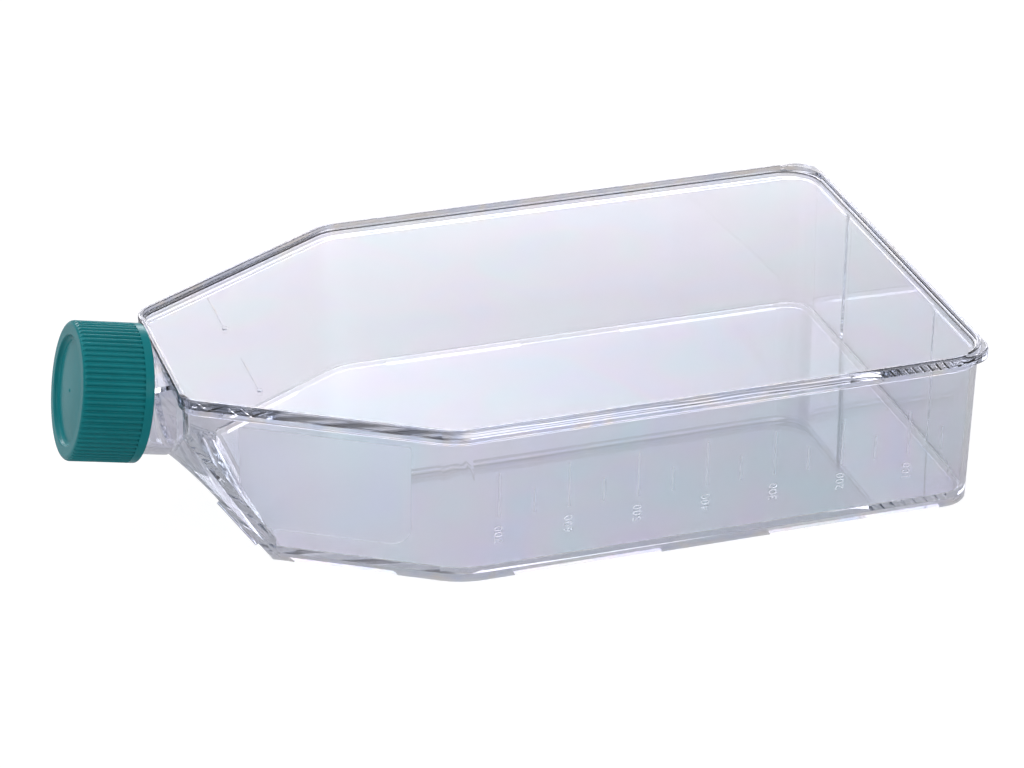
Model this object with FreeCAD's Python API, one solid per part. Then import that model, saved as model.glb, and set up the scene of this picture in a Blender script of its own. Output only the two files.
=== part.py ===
import FreeCAD, Part
import math
import os

# A 225 cm2 cell culture flask with a canted neck, lying on its large growth face.
# +X runs from the cap to the rear end, -Y is the side with the graduations, +Z is up.
# All sizes are in millimetres. While it is being built, X = 0 is the neck-end edge of
# the top rim; at the end everything is moved so that the origin is the bottom centre.

# ---- driving dimensions ------------------------------------------------------------
# top rim outline
RIM_LENGTH = 217.6          # neck-end edge to rear edge
RIM_WIDTH = 136.0
RIM_FRONT_WIDTH = 56.3      # width of the neck-end edge
SHOULDER_X = 64.2           # where the slanted shoulders reach the full width
RIM_FRONT_RADIUS = 8.0
RIM_SHOULDER_RADIUS = 14.0
RIM_REAR_RADIUS = 13.0
RIM_RADII = (RIM_FRONT_RADIUS, RIM_SHOULDER_RADIUS, RIM_REAR_RADIUS)

# heights
FLOOR_UNDERSIDE = 1.6       # the growth floor stands this far off the bench
FLOOR_TOP = 3.7
FLANGE_BOTTOM = 43.4        # underside of the tub's welding flange
FLANGE_TOP = 45.4           # weld plane between the tub and the top plate
WELD_GAP = 0.05             # the plate stands this far off the flange on its weld bead
PLATE_TOP = 46.9
RIM_TOP = 48.2

# walls
WALL = 1.6
WALL_TOP_INSET = 2.0        # wall to rim edge, just below the flange
BASE_SIDE_INSET = 4.0       # the same at the bench: long sides
BASE_SHOULDER_INSET = 4.7   # slanted shoulders
BASE_REAR_INSET = 2.0       # rear end
REAR_TOP_INSET = 1.6        # rear wall to rim edge, just below the flange
FRONT_WALL_X = 1.0
FRONT_CORNER_RADIUS = 3.0
BASE_SHOULDER_RADIUS = 22.0
WALL_REAR_RADIUS = 9.0
FLOOR_FILLET = 0.8
COVE = 0.6                  # hollow fillet between the walls and the flange
COVE_REAR_SHARE = 0.2       # the rear flange is narrower, and so is its cove
WALL_LAP = 0.6              # the walls run this far up into the flange
RIM_LAND = 1.4              # width of the raised rim on the top plate
TRAY_FILLET = 0.8           # inside the raised rim
BRIM_RADIUS = 0.3           # inner edge of the raised rim
RIM_EDGE_RADIUS = 0.7       # outer edge of the raised rim and its lugs
FLANGE_EDGE_RADIUS = 1.2    # lower edge of the flange
BASE_EDGE_RADIUS = 0.3      # outer edge of the standing skirt
WELD_INSET = 1.5            # the weld bead's outer edge to the rim's edge
WELD_WIDTH = 0.6
SKIRT = 3.0                 # width of the standing skirt under the floor

# ramp between the neck and the floor
RAMP_END_X = 21.6           # where the ramp meets the bench
RAMP_EDGE_TOP_Z = 35.2      # lower edge of the shoulder wall at the front
RAMP_EDGE_LOW_Z = 2.6       # lower edge of the shoulder wall at the ramp's foot
RAMP_NECK_RADIUS = 17.0
RAMP_NECK_ANGLE = 45.0      # the round bottom spans this much either side of downwards
RAMP_BEAD_RADIUS = 0.9      # bead along the lower corner of the ramp
RAMP_BEAD_SPAN = (0.46, 0.86)   # shares of the corner's length, from the neck down

# neck and cap, measured along the canted axis from the cap's end face
CANT = 11.2                 # degrees, the mouth points upwards
CAP_END = FreeCAD.Vector(-25.3, 0, 41.1)
CAP_RADIUS = 19.1
CAP_LENGTH = 19.5
CAP_BORE_RADIUS = 17.4
CAP_ROOF = 2.6              # inside of the cap's end
CAP_RECESS_RADIUS = 15.0
CAP_RECESS_DEPTH = 1.2
CAP_END_RADIUS = 1.4        # rounded edge round the end face
CAP_COLLAR_RADIUS = 0.6
CAP_GATE_RADIUS = 1.0       # ball that leaves a low round mark in the recess
RIB_COUNT = 70
RIB_DEPTH = 0.62
RIB_SHOULDER = 0.40         # a rib's flank starts this far below its crest
RIB_CREST_SHARE = 0.62      # the crest's share of the pitch
RIB_END = 17.3              # the smooth collar starts here
LINER_RADIUS = 17.0
LINER_THICKNESS = 1.0
LINER_GAP = 0.05
NECK_RADIUS = 16.6
NECK_THREAD_ROOT = 16.0
NECK_BORE_RADIUS = 14.6
NECK_MOUTH = CAP_ROOF + LINER_GAP + LINER_THICKNESS + LINER_GAP
NECK_SHOULDER = 17.8        # the thread finish ends, the plain root begins
THREAD_PITCH = 4.2
THREAD_TURNS = 1.6
NECK_THREAD_START = 6.2
NECK_THREAD_CREST = 17.05
CAP_THREAD_START = 8.4
CAP_THREAD_CREST = 16.35
THREAD_BASE = 1.7
THREAD_TIP = 0.9

# rear end panel, lugs, feet
PANEL_HALF = 31.0           # the rear wall's middle stands proud of its ends
PANEL_STEP = 0.5
PANEL_RUN = 1.2             # the step slopes back over this width
PANEL_EASE = 1.0            # radius at both ends of the slope
LUG_RADIUS = 8.0
LUG_PROUD = 0.1             # beyond the rim's rear and long edges
LUG_DROP = 0.1              # the lug's top lies this far below the rim's
FOOT_RELIEF = 0.5
SIDE_RELIEFS = ((81.4, 123.3), (154.6, 205.0))
SHOULDER_RELIEF = (26.8, 51.4)

# graduations on the -Y wall and marks on the top plate
GRAD_FIRST_X = 203.7        # the 50 ml tick, nearest the rear end
GRAD_STEP = 9.77            # 50 ml
GRAD_COUNT = 14
GRAD_FOOT_Z = 19.3
GRAD_SHORT = 7.2
GRAD_LONG = 13.5
GRAD_WIDTH = 0.5
GRAD_PROUD = 0.12
PAD_PROUD = 0.15            # writing pad on the -Y shoulder wall
PAD_CORNERS = ((13.8, 41.0, 0.8), (14.2, 22.8, 1.5), (20.7, 10.1, 2.0),     # x, z, radius
               (54.4, 10.1, 6.0), (54.4, 41.0, 0.8))
MARK_X = 21.8
MARK_SPANS = ((12.3, 31.8), (-26.8, -7.0))
MARK_WIDTH = 0.5
MARK_PROUD = 0.25
MARK_DOT_RADIUS = 0.8

V = FreeCAD.Vector
HALF_WIDTH = RIM_WIDTH / 2
FRONT_HALF = RIM_FRONT_WIDTH / 2
SHOULDER_SLOPE = (HALF_WIDTH - FRONT_HALF) / SHOULDER_X
SHOULDER_COS = 1 / math.hypot(1, SHOULDER_SLOPE)
BIG = 400.0


# ---- outlines ----------------------------------------------------------------------
def blend(low, high, z):
    """A wall inset at height z, running straight from the bench to the flange."""
    return low + (high - low) * z / FLANGE_BOTTOM


def shoulder_y(x, inset):
    """Half width of the slanted shoulder at x, inset square to the rim's edge."""
    return FRONT_HALF + SHOULDER_SLOPE * x - inset / SHOULDER_COS


def wall_inset(z):
    """Insets of the tub's outer wall at height z: shoulders, long sides, rear."""
    return (blend(BASE_SHOULDER_INSET, WALL_TOP_INSET, z),
            blend(BASE_SIDE_INSET, WALL_TOP_INSET, z),
            blend(BASE_REAR_INSET, REAR_TOP_INSET, z))


def rounded_wire(corners):
    """A closed flat wire through (point, radius) corners; radius 0 is a sharp corner."""
    count = len(corners)
    joins = []
    for i in range(count):
        here, radius = corners[i]
        before = corners[i - 1][0] - here
        after = corners[(i + 1) % count][0] - here
        before.normalize()
        after.normalize()
        if radius <= 0:
            joins.append((here, None, here))
            continue
        half = before.getAngle(after) / 2
        run = radius / math.tan(half)
        middle = before + after
        middle.normalize()
        centre = here + middle * (radius / math.sin(half))
        joins.append((here + before * run, centre - middle * radius, here + after * run))
    edges = []
    for i in range(count):
        start, through, end = joins[i]
        if through is not None:
            edges.append(Part.Arc(start, through, end).toShape())
        edges.append(Part.makeLine(end, joins[(i + 1) % count][0]))
    return Part.Wire(edges)


def outline(front, insets, radii, z, step=0):
    """The flask's six-sided outline at height z; step sets the rear's middle proud."""
    shoulder, side, rear = insets
    front_radius, shoulder_radius, rear_radius = radii
    y_front = shoulder_y(front, shoulder)
    y_side = HALF_WIDTH - side
    x_bend = (y_side - shoulder_y(0, shoulder)) / SHOULDER_SLOPE
    x_rear = RIM_LENGTH - rear
    near = [(V(front, -y_front, z), front_radius),
            (V(x_bend, -y_side, z), shoulder_radius),
            (V(x_rear, -y_side, z), rear_radius)]
    if step:
        near += [(V(x_rear, -PANEL_HALF - PANEL_RUN, z), PANEL_EASE),
                 (V(x_rear + step, -PANEL_HALF, z), PANEL_EASE)]
    far = [(V(p.x, -p.y, z), radius) for p, radius in reversed(near)]
    return rounded_wire(near + far)


def slab(front, insets, radii, z_low, z_high):
    face = Part.Face(outline(front, insets, radii, z_low))
    return face.extrude(V(0, 0, z_high - z_low))


def level_edges(shape, z):
    """The edges of a shape that lie at height z."""
    return [e for e in shape.Edges
            if abs(e.BoundBox.ZMin - z) < 0.01 and abs(e.BoundBox.ZMax - z) < 0.01]


def box(x_low, x_high, y_low, y_high, z_low, z_high):
    return Part.makeBox(x_high - x_low, y_high - y_low, z_high - z_low,
                        V(x_low, y_low, z_low))


# ---- the canted axis ---------------------------------------------------------------
AXIS = FreeCAD.Placement(CAP_END, FreeCAD.Rotation(V(0, 1, 0), 90 + CANT))


def on_axis(shape):
    """Moves a shape built along +Z to the neck's axis, +Z pointing into the flask."""
    moved = shape.copy()
    moved.Placement = AXIS.multiply(moved.Placement)
    return moved


def axial(radius, low, high):
    return Part.makeCylinder(radius, high - low, V(0, 0, low))


def thread(root, crest, start):
    """A trapezoid ridge wound on a helix, from just inside its wall to its crest."""
    bury = 0.2 if crest > root else -0.2
    helix = Part.makeHelix(THREAD_PITCH, THREAD_PITCH * THREAD_TURNS, root)
    points = [V(root - bury, 0, -THREAD_BASE / 2), V(root, 0, -THREAD_BASE / 2),
              V(crest, 0, -THREAD_TIP / 2), V(crest, 0, THREAD_TIP / 2),
              V(root, 0, THREAD_BASE / 2), V(root - bury, 0, THREAD_BASE / 2)]
    profile = Part.makePolygon(points + points[:1])
    ridge = Part.Wire(helix.Edges).makePipeShell([profile], True, True)
    ridge.translate(V(0, 0, start))
    return ridge


# ---- tub: floor, walls, ramp, neck and welding flange in one moulding ---------------
def ramp(front, foot, floor_z, radius, grow, top_z):
    """The trough under the neck: a round bottom at the front opening out to the floor.
    grow is how far the surface lies inside the tub's outer wall."""
    z_axis = CAP_END.z - (front - CAP_END.x) * math.tan(math.radians(CANT))

    def y_at(x, z):
        return shoulder_y(x, wall_inset(z)[0] + grow)

    def section(x, edge_z, low_y, low_z, bottom):
        left = [V(x, -y_at(x, top_z), top_z), V(x, -y_at(x, edge_z), edge_z),
                V(x, -low_y, low_z)]
        right = [V(p.x, -p.y, p.z) for p in reversed(left)]
        edges = [Part.makeLine(left[0], left[1]), Part.makeLine(left[1], left[2])]
        edges.append(bottom(left[2], right[0]))
        edges += [Part.makeLine(right[0], right[1]), Part.makeLine(right[1], right[2]),
                  Part.makeLine(right[2], left[0])]
        return Part.Wire(edges)

    def round_bottom(a, b):
        return Part.Arc(a, V(a.x, 0, z_axis - radius), b).toShape()

    angle = math.radians(RAMP_NECK_ANGLE)
    mouth = section(front, RAMP_EDGE_TOP_Z + grow, radius * math.sin(angle),
                    z_axis - radius * math.cos(angle), round_bottom)
    end = section(foot, RAMP_EDGE_LOW_Z + floor_z, y_at(foot, floor_z) - 1.0, floor_z,
                  Part.makeLine)
    return Part.makeLoft([mouth, end], True, True)


def make_tub():
    low_radii = (0, BASE_SHOULDER_RADIUS, WALL_REAR_RADIUS)
    high_radii = (0, RIM_SHOULDER_RADIUS, WALL_REAR_RADIUS)

    def drafted(front, grow, z_low, z_high):
        """The main body with drafted walls, grow inside the outer wall."""
        wires = []
        for z, radii in ((z_low, low_radii), (z_high, high_radii)):
            insets = [inset + grow for inset in wall_inset(z)]
            inner_radii = [max(radius - grow, 0) for radius in radii]
            wires.append(outline(front, insets, inner_radii, z, PANEL_STEP))
        return Part.makeLoft(wires, True, True)

    # outside
    body = drafted(FRONT_WALL_X, 0, 0, FLANGE_BOTTOM + WALL_LAP)
    skirt_edges = [e for e in level_edges(body, 0) if e.BoundBox.XMax > RAMP_END_X]
    body = body.makeFillet(BASE_EDGE_RADIUS, skirt_edges)
    body = body.common(box(RAMP_END_X, BIG, -BIG, BIG, -1, BIG))
    trough = ramp(FRONT_WALL_X, RAMP_END_X, 0, RAMP_NECK_RADIUS, 0, FLANGE_BOTTOM + WALL_LAP)
    corners = [e for e in trough.Edges
               if all(abs(v.X - FRONT_WALL_X) < 0.01 for v in e.Vertexes)
               and min(v.Z for v in e.Vertexes) > RAMP_EDGE_TOP_Z - 0.1
               and min(abs(v.Y) for v in e.Vertexes) > NECK_RADIUS + 3
               and e.BoundBox.ZLength > 3]
    trough = trough.makeFillet(FRONT_CORNER_RADIUS, corners)
    flange = slab(0, (0, 0, 0), RIM_RADII, FLANGE_BOTTOM, FLANGE_TOP)
    flange = flange.makeFillet(FLANGE_EDGE_RADIUS, level_edges(flange, FLANGE_BOTTOM))

    # neck: round thread finish, then a root whose top is flush with the weld plane
    root_end = (FRONT_WALL_X + 1.2 - CAP_END.x) / math.cos(math.radians(CANT))
    finish = axial(NECK_THREAD_ROOT, NECK_MOUTH, NECK_SHOULDER + 1)
    root = axial(NECK_RADIUS, NECK_SHOULDER, root_end)
    neck = trim_top(on_axis(finish.fuse(root)), FLANGE_TOP, NECK_SHOULDER + 0.8)
    ridge = on_axis(thread(NECK_THREAD_ROOT, NECK_THREAD_CREST, NECK_THREAD_START))

    # cove: three outlines on a quarter circle, the lowest just inside the wall
    arc = COVE * (1 - math.sqrt(0.5))
    rings = []
    for drop, reach in ((COVE, -0.03), (arc, arc), (0, COVE)):
        z = FLANGE_BOTTOM - drop
        shoulder, side, rear = wall_inset(z)
        insets = (shoulder - reach, side - reach, rear - reach * COVE_REAR_SHARE)
        rings.append(outline(FRONT_WALL_X, insets, (FRONT_CORNER_RADIUS,) + high_radii[1:], z))
    cove = Part.makeLoft(rings, True)
    lap = Part.Face(rings[-1]).extrude(V(0, 0, WALL_LAP))
    outer = body.multiFuse([trough, flange, cove, lap, neck, ridge, writing_pad()]
                           + ramp_beads() + graduations())

    # inside
    chamber = drafted(FRONT_WALL_X + WALL, WALL, FLOOR_TOP, FLANGE_TOP)
    floor_edges = [e for e in chamber.Edges
                   if e.BoundBox.ZMax < FLOOR_TOP + 0.1 and e.BoundBox.XMax > RAMP_END_X + 8]
    chamber = chamber.makeFillet(FLOOR_FILLET, floor_edges)
    foot = RAMP_END_X + 1.5
    chamber = chamber.common(box(foot, BIG, -BIG, BIG, 0, BIG))
    hollow = ramp(FRONT_WALL_X + WALL, foot, FLOOR_TOP, RAMP_NECK_RADIUS - WALL, WALL,
                  FLANGE_TOP)
    bore = axial(NECK_BORE_RADIUS, NECK_MOUTH - 1, root_end + 3)
    bore = trim_top(on_axis(bore), FLANGE_BOTTOM, NECK_SHOULDER - 0.8)
    inner = chamber.multiFuse([hollow, bore])

    # underside: a shallow pocket inside the skirt, and the skirt's relieved stretches
    insets = [inset + SKIRT for inset in wall_inset(0)]
    radii = [max(radius - SKIRT, 0) for radius in low_radii]
    pocket = slab(RAMP_END_X + SKIRT, insets, radii, -1, FLOOR_UNDERSIDE)
    return outer.cut(inner.multiFuse([pocket] + reliefs()))


def trim_top(shape, z, start):
    """Cuts the neck flat above z, from start on its axis into the flask."""
    above = box(-BIG, BIG, -BIG, BIG, z, BIG)
    behind = on_axis(axial(60, start, 120))
    return shape.cut(above.common(behind))


def lugs(z_low, z_high):
    """Rounded ears that fill out the two rear corners of the raised rim."""
    made = []
    for side in (-1, 1):
        centre = V(RIM_LENGTH - LUG_RADIUS + LUG_PROUD,
                   side * (HALF_WIDTH - LUG_RADIUS + LUG_PROUD), z_low)
        ear = Part.makeCylinder(LUG_RADIUS, z_high - z_low, centre)
        made.append(ear.makeFillet(RIM_EDGE_RADIUS, level_edges(ear, z_high)))
    return made


def ramp_beads():
    """A half-round bead along each lower corner of the ramp."""
    angle = math.radians(RAMP_NECK_ANGLE)
    z_axis = CAP_END.z - (FRONT_WALL_X - CAP_END.x) * math.tan(math.radians(CANT))
    made = []
    for side in (-1, 1):
        top = V(FRONT_WALL_X, side * RAMP_NECK_RADIUS * math.sin(angle),
                z_axis - RAMP_NECK_RADIUS * math.cos(angle))
        foot = V(RAMP_END_X, side * (shoulder_y(RAMP_END_X, BASE_SHOULDER_INSET) - 1.0), 0)
        start, end = [top + (foot - top) * share for share in RAMP_BEAD_SPAN]
        made.append(Part.makeCylinder(RAMP_BEAD_RADIUS, start.distanceToPoint(end),
                                      start, end - start))
    return made


def graduations():
    """Raised ticks on the -Y wall: short at each 50 ml, long at each 100 ml."""
    tilt = math.degrees(math.atan((BASE_SIDE_INSET - WALL_TOP_INSET) / FLANGE_BOTTOM))
    made = []
    for i in range(GRAD_COUNT):
        length = GRAD_LONG if i % 2 else GRAD_SHORT
        y = -(HALF_WIDTH - wall_inset(GRAD_FOOT_Z)[1])
        tick = Part.makeBox(GRAD_WIDTH, GRAD_PROUD + 0.4, length,
                            V(-GRAD_WIDTH / 2, -GRAD_PROUD, 0))
        tick.rotate(V(0, 0, 0), V(1, 0, 0), tilt)
        tick.translate(V(GRAD_FIRST_X - i * GRAD_STEP, y, GRAD_FOOT_Z))
        made.append(tick)
    return made


def writing_pad():
    """A raised field with a frosted face on the -Y shoulder wall."""
    def on_wall(x, z):
        return V(x, -shoulder_y(x, wall_inset(z)[0]), z)

    (x_front, z_top, _), (x_rear, z_low, _) = PAD_CORNERS[0], PAD_CORNERS[3]
    along = on_wall(x_rear, z_low) - on_wall(x_front, z_low)
    up = on_wall(x_front, z_top) - on_wall(x_front, z_low)
    outward = along.cross(up)
    outward.normalize()
    face = Part.Face(rounded_wire([(on_wall(x, z) - outward * 0.4, radius)
                                   for x, z, radius in PAD_CORNERS]))
    return face.extrude(outward * (0.4 + PAD_PROUD))


def reliefs():
    """Stretches of the skirt that clear the bench, leaving standing feet between."""
    made = []
    for low, high in SIDE_RELIEFS:
        for side in (-1, 1):
            y_out, y_in = HALF_WIDTH, HALF_WIDTH - BASE_SIDE_INSET - SKIRT - 0.2
            made.append(box(low, high, min(side * y_in, side * y_out),
                            max(side * y_in, side * y_out), -1, FOOT_RELIEF))
    low, high = SHOULDER_RELIEF
    for side in (-1, 1):
        corners = [V(x, side * shoulder_y(x, inset), -1)
                   for x, inset in ((low, 0), (high, 0),
                                    (high, BASE_SHOULDER_INSET + SKIRT + 0.2),
                                    (low, BASE_SHOULDER_INSET + SKIRT + 0.2))]
        strip = Part.Face(Part.makePolygon(corners + corners[:1]))
        made.append(strip.extrude(V(0, 0, 1 + FOOT_RELIEF)))
    return made


# ---- top plate: a flat lid with a raised rim, welded on the tub's flange ------------
def make_top_plate():
    underside = FLANGE_TOP + WELD_GAP
    plate = slab(0, (0, 0, 0), RIM_RADII, underside, RIM_TOP)
    plate = plate.makeFillet(RIM_EDGE_RADIUS, level_edges(plate, RIM_TOP))
    plate = plate.multiFuse(lugs(underside, RIM_TOP - LUG_DROP))

    # tray: the sunk middle, with a fillet at its foot and an eased brim
    radii = [radius - RIM_LAND for radius in RIM_RADII]
    tray = slab(RIM_LAND, (RIM_LAND,) * 3, radii, PLATE_TOP, RIM_TOP + 1)
    tray = tray.makeFillet(TRAY_FILLET, level_edges(tray, PLATE_TOP))
    plate = plate.cut(tray)
    brim = [e for e in level_edges(plate, RIM_TOP)
            if e.BoundBox.XMin > RIM_LAND - 0.1
            and e.BoundBox.XMax < RIM_LENGTH - RIM_LAND + 0.1
            and max(abs(e.BoundBox.YMin), abs(e.BoundBox.YMax)) < HALF_WIDTH - RIM_LAND + 0.1]
    plate = plate.makeFillet(BRIM_RADIUS, brim)

    # weld bead that carries the plate on the flange
    rings = [slab(inset, (inset,) * 3, [radius - inset for radius in RIM_RADII],
                  FLANGE_TOP, underside + 0.2)
             for inset in (WELD_INSET, WELD_INSET + WELD_WIDTH)]
    marks = [rings[0].cut(rings[1])]
    for low, high in MARK_SPANS:
        marks.append(box(MARK_X - MARK_WIDTH / 2, MARK_X + MARK_WIDTH / 2, low, high,
                         PLATE_TOP - 0.2, PLATE_TOP + MARK_PROUD))
        marks.append(Part.makeCylinder(MARK_DOT_RADIUS, 0.2 + MARK_PROUD,
                                       V(MARK_X, low, PLATE_TOP - 0.2)))
    return plate.multiFuse(marks)


# ---- screw cap ----------------------------------------------------------------------
def ribbed_blank():
    """A cylinder with rounded ribs along it: one arc for each crest and each groove."""
    def at(share, depth):
        angle = share * 2 * math.pi / RIB_COUNT
        radius = CAP_RADIUS - depth
        return V(radius * math.cos(angle), radius * math.sin(angle), 0)

    edges = []
    for i in range(RIB_COUNT):
        flank = i + RIB_CREST_SHARE
        edges.append(Part.Arc(at(i, RIB_SHOULDER), at(i + RIB_CREST_SHARE / 2, 0),
                              at(flank, RIB_SHOULDER)).toShape())
        edges.append(Part.Arc(at(flank, RIB_SHOULDER), at((flank + i + 1) / 2, RIB_DEPTH),
                              at(i + 1, RIB_SHOULDER)).toShape())
    return Part.Face(Part.Wire(edges)).extrude(V(0, 0, RIB_END))


def turned(points):
    """A solid of revolution about Z. A corner's third entry rounds it by an arc to the
    next point, through a middle point."""
    edges = []
    for i, (r, z, middle) in enumerate(points):
        start = V(r, 0, z)
        end_r, end_z, _ = points[(i + 1) % len(points)]
        end = V(end_r, 0, end_z)
        if middle is None:
            edges.append(Part.makeLine(start, end))
        else:
            edges.append(Part.Arc(start, V(middle[0], 0, middle[1]), end).toShape())
    return Part.Face(Part.Wire(edges)).revolve(V(0, 0, 0), V(0, 0, 1), 360)


def make_cap():
    """Ribbed skirt, smooth collar at the open end, recessed end, internal thread."""
    collar = axial(CAP_RADIUS, RIB_END - 0.4, CAP_LENGTH)
    blank = ribbed_blank().fuse(collar)

    # turned envelope: domed recess, rounded end edge, eased collar
    r, depth, recess = CAP_RADIUS, CAP_RECESS_DEPTH, CAP_RECESS_RADIUS
    end, collar_edge = CAP_END_RADIUS, CAP_COLLAR_RADIUS
    bend = 1 - math.sqrt(0.5)       # an arc's middle, as a share of its radius
    envelope = turned([
        (0, depth - 0.45, (recess * 0.45, depth - 0.35)),
        (recess - 1.4, depth, (recess - 0.35, depth - 0.25)),
        (recess, depth - 0.8, (recess + 0.18, 0.12)),
        (recess + 0.7, 0, None),
        (r - end, 0, (r - end * bend, end * bend)),
        (r, end, None),
        (r + 1, end, None),
        (r + 1, CAP_LENGTH - collar_edge, None),
        (r, CAP_LENGTH - collar_edge, (r - collar_edge * bend, CAP_LENGTH - collar_edge * bend)),
        (r - collar_edge, CAP_LENGTH, None),
        (0, CAP_LENGTH, None)])
    gate = Part.makeSphere(CAP_GATE_RADIUS, V(0, 0, depth + 0.35))
    cap = blank.common(envelope).fuse(gate)
    cap = cap.cut(axial(CAP_BORE_RADIUS, CAP_ROOF, CAP_LENGTH + 1))
    cap = cap.fuse(thread(CAP_BORE_RADIUS, CAP_THREAD_CREST, CAP_THREAD_START))
    return on_axis(cap)


def make_liner():
    low = CAP_ROOF + LINER_GAP
    return on_axis(axial(LINER_RADIUS, low, low + LINER_THICKNESS))


# ---- build and write ---------------------------------------------------------------
parts = {
    "flask_tub": make_tub(),
    "top_plate": make_top_plate(),
    "screw_cap": make_cap(),
    "cap_liner": make_liner(),
}
whole = Part.makeCompound(list(parts.values())).optimalBoundingBox(False, False)
shift = V(-(whole.XMin + whole.XMax) / 2, -(whole.YMin + whole.YMax) / 2, -whole.ZMin)
os.makedirs("parts", exist_ok=True)
for name, shape in parts.items():
    shape.translate(shift)
    print(name, "valid", shape.isValid(), "solids", len(shape.Solids),
          "volume", round(shape.Volume / 1000, 2), "ml")
    shape.exportStep("parts/" + name + ".step")
print("shift", [round(value, 3) for value in shift])
print("size", [round(value, 2) for value in (whole.XLength, whole.YLength, whole.ZLength)])
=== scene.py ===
import bpy
import math
from mathutils import Matrix, Vector


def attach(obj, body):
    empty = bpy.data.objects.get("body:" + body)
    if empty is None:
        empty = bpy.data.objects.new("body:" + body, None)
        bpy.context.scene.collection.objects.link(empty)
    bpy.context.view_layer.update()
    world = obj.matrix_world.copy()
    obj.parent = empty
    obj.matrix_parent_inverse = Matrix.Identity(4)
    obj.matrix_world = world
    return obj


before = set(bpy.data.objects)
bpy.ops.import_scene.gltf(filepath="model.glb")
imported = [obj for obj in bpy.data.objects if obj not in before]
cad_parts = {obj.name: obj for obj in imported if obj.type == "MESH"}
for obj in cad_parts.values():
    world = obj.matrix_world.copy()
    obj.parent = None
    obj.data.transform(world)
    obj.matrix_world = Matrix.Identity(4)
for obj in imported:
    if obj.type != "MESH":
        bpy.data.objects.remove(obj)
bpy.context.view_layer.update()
bpy.ops.object.select_all(action="DESELECT")

# ---- tub ----------------------------------------------------------------------------------
# The tub is one moulding of clear polystyrene: floor, drafted walls, ramp, threaded neck
# and welding flange. Its faces keep faint waves from the mould, the plastic is strained
# where it cooled last, and the near shoulder has a frosted field to write on.
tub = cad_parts["flask_tub"]
tub_waves = 0.00002         # height of the mould's waves, metres
tub_dimming = 2.5           # how fast light dims inside the wall
skirt_top = 0.0015          # Z of the standing skirt's strained edge
flange_strain = 0.0425      # Z above which the welding flange is strained


def math_node(nodes, links, operation, first, second):
    """A Math node between two sockets or numbers; returns its output."""
    node = nodes.new("ShaderNodeMath")
    node.operation = operation
    for socket, value in zip(node.inputs, (first, second)):
        if isinstance(value, (int, float)):
            socket.default_value = value
        else:
            links.new(value, socket)
    return node.outputs[0]


# Mould waves: a long swell and a finer ripple, as a height.
mould_waves = bpy.data.node_groups.new("mould_waves", "ShaderNodeTree")
mould_waves.interface.new_socket("Vector", in_out="INPUT", socket_type="NodeSocketVector")
mould_waves.interface.new_socket("Ripple", in_out="INPUT", socket_type="NodeSocketFloat")
mould_waves.interface.new_socket("Height", in_out="OUTPUT", socket_type="NodeSocketFloat")
nodes, links = mould_waves.nodes, mould_waves.links
entry = nodes.new("NodeGroupInput")
leave = nodes.new("NodeGroupOutput")
swell = nodes.new("ShaderNodeTexNoise")
swell.inputs["Scale"].default_value = 26
swell.inputs["Detail"].default_value = 1
links.new(entry.outputs["Vector"], swell.inputs["Vector"])
ripple = nodes.new("ShaderNodeTexNoise")
ripple.inputs["Scale"].default_value = 140
ripple.inputs["Detail"].default_value = 2
links.new(entry.outputs["Vector"], ripple.inputs["Vector"])
fine = math_node(nodes, links, "MULTIPLY", ripple.outputs["Fac"], entry.outputs["Ripple"])
links.new(math_node(nodes, links, "ADD", swell.outputs["Fac"], fine), leave.inputs["Height"])

# Strain colours: broad pastel patches everywhere, and narrow orange and blue fringes
# where the Fringe mask says that the plastic is thick or was trimmed.
strain_colours = bpy.data.node_groups.new("strain_colours", "ShaderNodeTree")
strain_colours.interface.new_socket("Vector", in_out="INPUT", socket_type="NodeSocketVector")
strain_colours.interface.new_socket("Fringe", in_out="INPUT", socket_type="NodeSocketFloat")
strain_colours.interface.new_socket("Color", in_out="OUTPUT", socket_type="NodeSocketColor")
nodes, links = strain_colours.nodes, strain_colours.links
entry = nodes.new("NodeGroupInput")
leave = nodes.new("NodeGroupOutput")
patches = nodes.new("ShaderNodeTexNoise")
patches.inputs["Scale"].default_value = 34
patches.inputs["Detail"].default_value = 1.5
patches.inputs["Distortion"].default_value = 0.6
links.new(entry.outputs["Vector"], patches.inputs["Vector"])
pastel = nodes.new("ShaderNodeValToRGB")
pastel.color_ramp.elements[0].position = 0.30
pastel.color_ramp.elements[0].color = (0.905, 0.923, 0.992, 1)
pastel.color_ramp.elements[1].position = 0.72
pastel.color_ramp.elements[1].color = (0.895, 0.933, 0.992, 1)
for place, colour in ((0.40, (0.935, 0.913, 0.98)), (0.47, (0.935, 0.933, 0.97)),
                      (0.54, (0.915, 0.943, 0.975)), (0.62, (0.890, 0.953, 0.975))):
    pastel.color_ramp.elements.new(place).color = colour + (1,)
links.new(patches.outputs["Fac"], pastel.inputs[0])
bands = nodes.new("ShaderNodeTexNoise")
bands.inputs["Scale"].default_value = 45
bands.inputs["Detail"].default_value = 1
bands.inputs["Distortion"].default_value = 0.8
links.new(entry.outputs["Vector"], bands.inputs["Vector"])
spectrum = nodes.new("ShaderNodeValToRGB")
spectrum.color_ramp.elements[0].position = 0.30
spectrum.color_ramp.elements[0].color = (0.95, 0.94, 0.96, 1)
spectrum.color_ramp.elements[1].position = 0.74
spectrum.color_ramp.elements[1].color = (0.95, 0.95, 0.96, 1)
for place, colour in ((0.40, (0.84, 0.87, 0.99)), (0.46, (0.95, 0.94, 0.97)),
                      (0.52, (0.98, 0.91, 0.84)), (0.57, (0.97, 0.94, 0.95)),
                      (0.64, (0.82, 0.86, 0.99))):
    spectrum.color_ramp.elements.new(place).color = colour + (1,)
links.new(bands.outputs["Fac"], spectrum.inputs[0])
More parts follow.
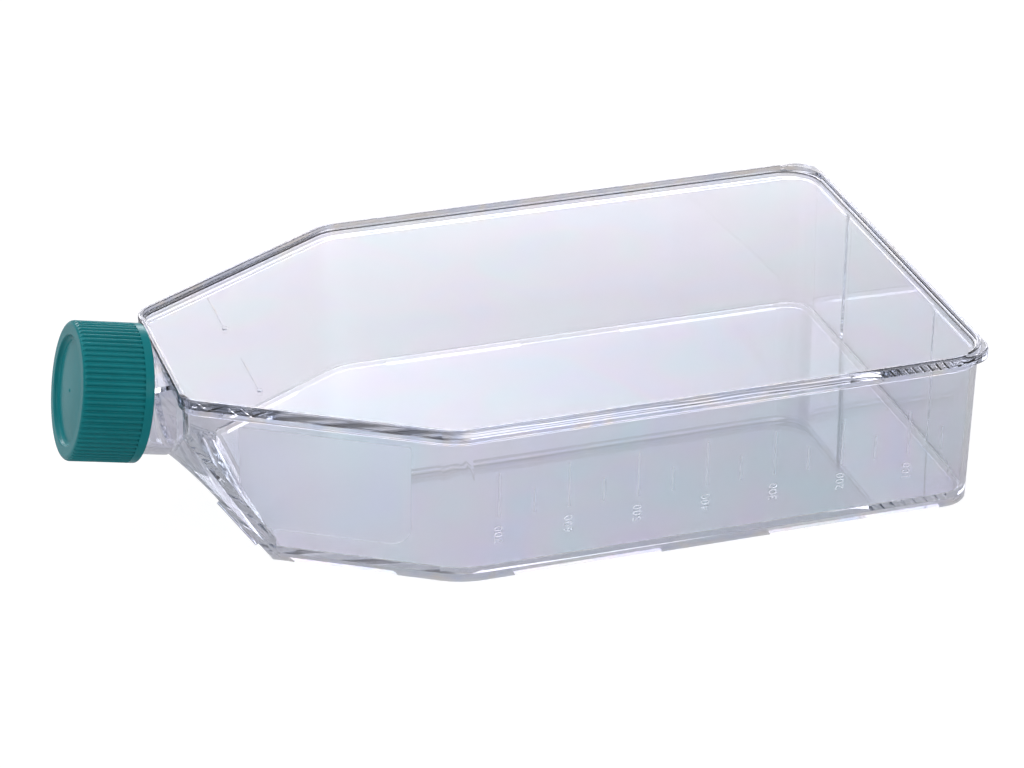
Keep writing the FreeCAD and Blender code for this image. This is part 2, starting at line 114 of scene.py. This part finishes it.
mix = nodes.new("ShaderNodeMix")
mix.data_type = "RGBA"
links.new(entry.outputs["Fringe"], mix.inputs["Factor"])
links.new(pastel.outputs[0], mix.inputs["A"])
links.new(spectrum.outputs[0], mix.inputs["B"])
links.new(mix.outputs["Result"], leave.inputs["Color"])


polystyrene_bends = 1.59    # index of refraction
frost_roughness = 0.3       # of the blasted fields
ripple_share = 0.02         # height of the fine ripple against the swell


def clear_plastic(name, waves, density, fringe, frost=None):
    """Clear polystyrene. waves is the height of the mould's waves in metres, and density
    dims the light along its way inside. fringe and frost each build a mask from the Object
    coordinates, and are called as fringe(nodes, links, coordinates)."""
    material = bpy.data.materials.new(name)
    material.use_nodes = True
    nodes, links = material.node_tree.nodes, material.node_tree.links
    nodes.clear()
    output = nodes.new("ShaderNodeOutputMaterial")
    place = nodes.new("ShaderNodeTexCoord")
    plastic = nodes.new("ShaderNodeBsdfPrincipled")
    plastic.inputs["Transmission Weight"].default_value = 1
    plastic.inputs["IOR"].default_value = polystyrene_bends
    plastic.inputs["Roughness"].default_value = 0
    strain = nodes.new("ShaderNodeGroup")
    strain.node_tree = strain_colours
    links.new(place.outputs["Object"], strain.inputs["Vector"])
    welded = fringe(nodes, links, place.outputs["Object"])
    links.new(welded, strain.inputs["Fringe"])
    links.new(strain.outputs["Color"], plastic.inputs["Base Color"])
    height = nodes.new("ShaderNodeGroup")
    height.node_tree = mould_waves
    height.inputs["Ripple"].default_value = ripple_share
    links.new(place.outputs["Object"], height.inputs["Vector"])
    bump = nodes.new("ShaderNodeBump")
    links.new(math_node(nodes, links, "SUBTRACT", 1, welded), bump.inputs["Strength"])
    bump.inputs["Distance"].default_value = waves
    links.new(height.outputs["Height"], bump.inputs["Height"])
    links.new(bump.outputs["Normal"], plastic.inputs["Normal"])
    if frost is not None:
        mask = frost(nodes, links, place.outputs["Object"])
        rough = math_node(nodes, links, "MULTIPLY", mask, frost_roughness)
        links.new(rough, plastic.inputs["Roughness"])
    # light passes to the bench, less what the faces turn back
    lets_light = nodes.new("ShaderNodeBsdfTransparent")
    lets_light.inputs["Color"].default_value = (0.86, 0.87, 0.88, 1)
    path = nodes.new("ShaderNodeLightPath")
    choose = nodes.new("ShaderNodeMixShader")
    links.new(path.outputs["Is Shadow Ray"], choose.inputs["Fac"])
    links.new(plastic.outputs[0], choose.inputs[1])
    links.new(lets_light.outputs[0], choose.inputs[2])
    links.new(choose.outputs[0], output.inputs["Surface"])
    # on its long way from edge to edge inside a wall the light turns dim and blue
    depth = nodes.new("ShaderNodeVolumeAbsorption")
    depth.inputs["Color"].default_value = (0.38, 0.47, 0.64, 1)
    depth.inputs["Density"].default_value = density
    links.new(depth.outputs[0], output.inputs["Volume"])
    return material


def tub_fringe(nodes, links, place):
    """The skirt at the bench and the welding flange."""
    split = nodes.new("ShaderNodeSeparateXYZ")
    links.new(place, split.inputs[0])
    low = math_node(nodes, links, "LESS_THAN", split.outputs["Z"], skirt_top)
    high = math_node(nodes, links, "GREATER_THAN", split.outputs["Z"], flange_strain)
    return math_node(nodes, links, "MAXIMUM", low, high)


# Each face by its facing, and its distance from the frame's origin along that.
near_shoulder = ((-0.5264, -0.8480, -0.0621), 0.06899)
near_wall = ((0, -1, -0.0461), 0.06406)
field_front = -0.08175      # X of the writing field's end nearest the neck
tick_foot = 0.005           # Z under which no tick starts
flange_foot = 0.0414        # Z of the welding flange's underside


def blasted_fields(nodes, links, place):
    """What stands proud of the near shoulder, the raised field, and of the near wall, the
    ticks of the scale."""
    split = nodes.new("ShaderNodeSeparateXYZ")
    links.new(place, split.inputs[0])
    proud = []
    for facing, distance in (near_shoulder, near_wall):
        reach = nodes.new("ShaderNodeVectorMath")
        reach.operation = "DOT_PRODUCT"
        links.new(place, reach.inputs[0])
        reach.inputs[1].default_value = facing
        proud.append(math_node(nodes, links, "GREATER_THAN", reach.outputs["Value"], distance))
    behind = math_node(nodes, links, "GREATER_THAN", split.outputs["X"], field_front)
    field = math_node(nodes, links, "MULTIPLY", proud[0], behind)
    above = math_node(nodes, links, "GREATER_THAN", split.outputs["Z"], tick_foot)
    ticks = math_node(nodes, links, "MULTIPLY", proud[1], above)
    under = math_node(nodes, links, "LESS_THAN", split.outputs["Z"], flange_foot)
    blasted = math_node(nodes, links, "MAXIMUM", field, ticks)
    return math_node(nodes, links, "MULTIPLY", blasted, under)


tub.data.materials.clear()
tub.data.materials.append(
    clear_plastic("clear_tub", tub_waves, tub_dimming, tub_fringe, blasted_fields))

# ---- volume figures -----------------------------------------------------------------------
# Plain figures stand a hair proud of the near wall, one under each long tick. They are
# cut in the mould with the wall, they have a finely blasted face that scatters a little
# light, and they read upwards with the flask on its growth face.
figures_frosted = bpy.data.materials.new("frosted_figures")
figures_frosted.use_nodes = True
nodes, links = figures_frosted.node_tree.nodes, figures_frosted.node_tree.links
shader = nodes["Principled BSDF"]
shader.inputs["Base Color"].default_value = (0.97, 0.97, 1.0, 1)
shader.inputs["Roughness"].default_value = 0.45
shader.inputs["IOR"].default_value = polystyrene_bends
shader.inputs["Transmission Weight"].default_value = 1
place = nodes.new("ShaderNodeTexCoord")
blasted = nodes.new("ShaderNodeTexNoise")
blasted.inputs["Scale"].default_value = 3000
links.new(place.outputs["Object"], blasted.inputs["Vector"])
haze = nodes.new("ShaderNodeMapRange")
haze.inputs["To Min"].default_value = 0.20
haze.inputs["To Max"].default_value = 0.50
links.new(blasted.outputs["Fac"], haze.inputs["Value"])
links.new(haze.outputs[0], shader.inputs["Alpha"])
rim_middle = 0.068          # Y of the wall before its insets
flange_bottom = 0.0434      # height over which the wall leans out
base_inset = 0.0040         # the wall's inset at the floor
top_inset = 0.0020          # and at the flange
figure_foot = 0.0112        # Z of each figure's start, under its tick
first_tick = 0.09946        # X of the 100 ml tick
tick_step = 0.01954         # X from one long tick to the next
figure_size = 0.0035        # size of the type
figure_stands = 0.00008     # how far a figure's middle stands out of the wall
wall_y = -(rim_middle - base_inset + (base_inset - top_inset) * figure_foot / flange_bottom)
lean = math.atan((base_inset - top_inset) / flange_bottom)
upright = Matrix(((0, -1, 0),
                  (-math.sin(lean), 0, -math.cos(lean)),
                  (math.cos(lean), 0, -math.sin(lean))))
for count in range(1, 8):
    bpy.ops.object.select_all(action="DESELECT")
    bpy.ops.object.text_add()
    figure = bpy.context.object
    figure.data.body = str(100 * count)
    figure.data.size = figure_size
    figure.data.space_character = 1.05
    figure.data.align_y = "CENTER"
    figure.data.extrude = 0.00006
    figure.data.resolution_u = 3
    bpy.ops.object.convert(target="MESH")
    figure = bpy.context.object
    figure.name = "figure_" + str(100 * count)
    figure.rotation_euler = upright.to_euler()
    out = upright @ Vector((0, 0, figure_stands))
    figure.location = Vector((first_tick - tick_step * (count - 1), wall_y, figure_foot)) + out
    bpy.ops.object.transform_apply(location=True, rotation=True, scale=True)
    figure.data.materials.clear()
    figure.data.materials.append(figures_frosted)
    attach(figure, "flask")

# ---- top plate ------------------------------------------------------------------------------
# The top plate is a second clear moulding, a flat lid with a raised rim. It is welded to
# the tub's flange all round, and the weld strains the rim.
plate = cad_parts["top_plate"]
plate_waves = 0.00003       # height of the mould's waves, metres
plate_dimming = 3.5         # how fast light dims inside the plate
plate_face = 0.0471         # Z just over the plate's flat face
upright_face = 0.6          # a face whose normal rises less than this is a side


def plate_fringe(nodes, links, place):
    """The raised rim and the plate's edge."""
    split = nodes.new("ShaderNodeSeparateXYZ")
    links.new(place, split.inputs[0])
    facing = nodes.new("ShaderNodeNewGeometry")
    tilt = nodes.new("ShaderNodeSeparateXYZ")
    links.new(facing.outputs["True Normal"], tilt.inputs[0])
    level = math_node(nodes, links, "ABSOLUTE", tilt.outputs["Z"], 0)
    side = math_node(nodes, links, "LESS_THAN", level, upright_face)
    high = math_node(nodes, links, "GREATER_THAN", split.outputs["Z"], plate_face)
    return math_node(nodes, links, "MAXIMUM", side, high)


plate.data.materials.clear()
plate.data.materials.append(
    clear_plastic("clear_plate", plate_waves, plate_dimming, plate_fringe))

# ---- cap liner ------------------------------------------------------------------------------
# A disc of white polyethylene foam lies inside the cap's end and seals on the mouth. Its
# cut face shows fine closed cells.
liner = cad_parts["cap_liner"]
foam = bpy.data.materials.new("foam_liner")
foam.use_nodes = True
nodes, links = foam.node_tree.nodes, foam.node_tree.links
shader = nodes["Principled BSDF"]
place = nodes.new("ShaderNodeTexCoord")
cells = nodes.new("ShaderNodeTexVoronoi")
cells.inputs["Scale"].default_value = 2600
links.new(place.outputs["Object"], cells.inputs["Vector"])
tint = nodes.new("ShaderNodeValToRGB")
tint.color_ramp.elements[0].color = (0.80, 0.80, 0.77, 1)
tint.color_ramp.elements[1].position = 0.6
tint.color_ramp.elements[1].color = (0.87, 0.87, 0.85, 1)
links.new(cells.outputs["Distance"], tint.inputs[0])
links.new(tint.outputs[0], shader.inputs["Base Color"])
shader.inputs["Roughness"].default_value = 0.75
bump = nodes.new("ShaderNodeBump")
bump.inputs["Strength"].default_value = 0.5
bump.inputs["Distance"].default_value = 0.0001
links.new(cells.outputs["Distance"], bump.inputs["Height"])
links.new(bump.outputs["Normal"], shader.inputs["Normal"])
liner.data.materials.clear()
liner.data.materials.append(foam)

# ---- screw cap ------------------------------------------------------------------------------
# The cap is moulded in teal polyethylene and screws onto the neck. The mould's spark
# finish leaves a fine grain, and the pigment is a little uneven where the plastic flowed.
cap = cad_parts["screw_cap"]
teal = bpy.data.materials.new("teal_cap")
teal.use_nodes = True
nodes, links = teal.node_tree.nodes, teal.node_tree.links
shader = nodes["Principled BSDF"]
place = nodes.new("ShaderNodeTexCoord")
flow = nodes.new("ShaderNodeTexNoise")
flow.inputs["Scale"].default_value = 60
flow.inputs["Detail"].default_value = 3
links.new(place.outputs["Object"], flow.inputs["Vector"])
pigment = nodes.new("ShaderNodeValToRGB")
pigment.color_ramp.elements[0].position = 0.3
pigment.color_ramp.elements[0].color = (0.008, 0.222, 0.240, 1)
pigment.color_ramp.elements[1].position = 0.7
pigment.color_ramp.elements[1].color = (0.012, 0.260, 0.282, 1)
links.new(flow.outputs["Fac"], pigment.inputs[0])
links.new(pigment.outputs[0], shader.inputs["Base Color"])
grain = nodes.new("ShaderNodeTexNoise")
grain.inputs["Scale"].default_value = 2200
grain.inputs["Detail"].default_value = 2
links.new(place.outputs["Object"], grain.inputs["Vector"])
dull = nodes.new("ShaderNodeMapRange")
dull.inputs["To Min"].default_value = 0.16
dull.inputs["To Max"].default_value = 0.24
links.new(grain.outputs["Fac"], dull.inputs["Value"])
links.new(dull.outputs[0], shader.inputs["Roughness"])
shader.inputs["Specular IOR Level"].default_value = 0.12
bump = nodes.new("ShaderNodeBump")
bump.inputs["Strength"].default_value = 0.5
bump.inputs["Distance"].default_value = 0.00003
links.new(grain.outputs["Fac"], bump.inputs["Height"])
links.new(bump.outputs["Normal"], shader.inputs["Normal"])
cap.data.materials.clear()
cap.data.materials.append(teal)

# ---- bench ----------------------------------------------------------------------------------
# A plain white bench. It is full white to the camera, shows through the clear plastic in
# the grey of its own lit colour, and keeps the soft shadow under the flask.
bench_size = 8
bench_height = 0.00005      # a hair above the skirt's foot, so the two faces don't coincide
bpy.ops.mesh.primitive_plane_add(size=bench_size, location=(0, 0, bench_height))
bench = bpy.context.object
bench.name = "bench"
bench_white = bpy.data.materials.new("bench_white")
bench_white.use_nodes = True
nodes, links = bench_white.node_tree.nodes, bench_white.node_tree.links
nodes.clear()
output = nodes.new("ShaderNodeOutputMaterial")
diffuse = nodes.new("ShaderNodeBsdfDiffuse")
glow = nodes.new("ShaderNodeEmission")
path = nodes.new("ShaderNodeLightPath")
bench_pale = 0.60           # the bench's colour, as light meets it
direct_less = -0.36         # what is taken off it where the camera looks straight at it
direct_glow = 0.84          # what is put back there, so the bench is white
through_glow = 0.02         # a little glow through plastic and in reflections
less = math_node(nodes, links, "MULTIPLY", path.outputs["Is Camera Ray"], direct_less)
links.new(math_node(nodes, links, "ADD", less, bench_pale), diffuse.inputs["Color"])
direct = math_node(nodes, links, "MULTIPLY", path.outputs["Is Camera Ray"], direct_glow)
seen_through = math_node(nodes, links, "MAXIMUM", path.outputs["Is Transmission Ray"],
                         path.outputs["Is Glossy Ray"])
through = math_node(nodes, links, "MULTIPLY", seen_through, through_glow)
links.new(math_node(nodes, links, "MAXIMUM", direct, through), glow.inputs["Strength"])
add = nodes.new("ShaderNodeAddShader")
links.new(diffuse.outputs[0], add.inputs[0])
links.new(glow.outputs[0], add.inputs[1])
links.new(add.outputs[0], output.inputs["Surface"])
bench.data.materials.append(bench_white)

# ---- studio light ---------------------------------------------------------------------------
# A dim room with white cards, a low bright one behind the flask, a wider one above that,
# one in front on the right and a soft one overhead, and two softboxes.
world = bpy.data.worlds.new("studio")
bpy.context.scene.world = world
world.use_nodes = True
nodes, links = world.node_tree.nodes, world.node_tree.links
nodes.clear()
output = nodes.new("ShaderNodeOutputWorld")
direction = nodes.new("ShaderNodeTexCoord")
split = nodes.new("ShaderNodeSeparateXYZ")
links.new(direction.outputs["Generated"], split.inputs[0])


def fade(socket, low, high, start, end):
    """start below low, end above high, and a smooth change between them."""
    node = nodes.new("ShaderNodeMapRange")
    node.interpolation_type = "SMOOTHSTEP"
    for name, value in (("From Min", low), ("From Max", high),
                        ("To Min", start), ("To Max", end)):
        node.inputs[name].default_value = value
    links.new(socket, node.inputs["Value"])
    return node.outputs[0]


def product(*sockets):
    """All the sockets multiplied together."""
    total = sockets[0]
    for socket in sockets[1:]:
        total = math_node(nodes, links, "MULTIPLY", total, socket)
    return total


def card(across, depth, up, strength):
    """A white card in the room. Along each axis it starts, is full, starts to fade and is
    gone at the four values."""
    sides = [fade(split.outputs[axis], values[0], values[1], 0, 1)
             for axis, values in zip("XYZ", (across, depth, up))]
    sides += [fade(split.outputs[axis], values[2], values[3], 1, 0)
              for axis, values in zip("XYZ", (across, depth, up))]
    return math_node(nodes, links, "MULTIPLY", product(*sides), strength)


light = fade(split.outputs["Z"], -0.1, 1.0, 0.10, 0.32)
low_behind = card((-0.5, -0.1, 0.4, 0.75), (0.0, 0.4, 2, 3), (0.03, 0.18, 0.28, 0.45), 5.2)
over_it = card((-0.95, -0.5, 0.05, 0.6), (0.0, 0.4, 2, 3), (0.25, 0.4, 0.5, 0.7), 2.3)
front_right = card((0.0, 0.5, 2, 3), (-3, -2, -0.6, -0.2), (0.2, 0.4, 0.5, 0.7), 3.0)
overhead = fade(split.outputs["Z"], 0.6, 0.95, 0, 0.15)
for shine in (low_behind, over_it, front_right, overhead):
    light = math_node(nodes, links, "ADD", light, shine)
dome = nodes.new("ShaderNodeBackground")
dome.inputs["Color"].default_value = (0.97, 0.96, 1.0, 1)
links.new(light, dome.inputs["Strength"])
white = nodes.new("ShaderNodeBackground")
white.inputs["Color"].default_value = (1, 1, 1, 1)
path = nodes.new("ShaderNodeLightPath")
mix = nodes.new("ShaderNodeMixShader")
links.new(path.outputs["Is Camera Ray"], mix.inputs["Fac"])
links.new(dome.outputs[0], mix.inputs[1])
links.new(white.outputs[0], mix.inputs[2])
links.new(mix.outputs[0], output.inputs["Surface"])
for name, place, aim, size, watts in (
        ("overhead_softbox", (-0.15, 0.45, 1.3), (0, 0, 0), 1.3, 5),
        ("left_softbox", (-1.2, -0.4, 0.8), (0, 0, 0.03), 0.9, 4.2)):
    bpy.ops.object.light_add(type="AREA", location=place)
    lamp = bpy.context.object
    lamp.name = name
    lamp.data.size = size
    lamp.data.energy = watts
    lamp.data.color = (0.96, 0.96, 1.0)
    lamp.rotation_euler = (Vector(place) - Vector(aim)).to_track_quat("Z", "Y").to_euler()

# Clear plastic turns light back inside its walls many times before it leaves them.
light_turns = 128
bpy.context.scene.cycles.max_bounces = light_turns
bpy.context.scene.cycles.glossy_bounces = light_turns
bpy.context.scene.cycles.transmission_bounces = light_turns
bpy.context.scene.view_settings.view_transform = "Standard"

# ---- camera ---------------------------------------------------------------------------------
# A long lens looks down at the graduated side from the left, past the cap.
bpy.ops.object.camera_add(location=(-0.27565, -0.8887, 0.5026),
                          rotation=(math.radians(62.8), 0, math.radians(-17.61)))
camera = bpy.context.object
camera.data.sensor_width = 36
camera.data.lens = 130.94
bpy.context.scene.camera = camera
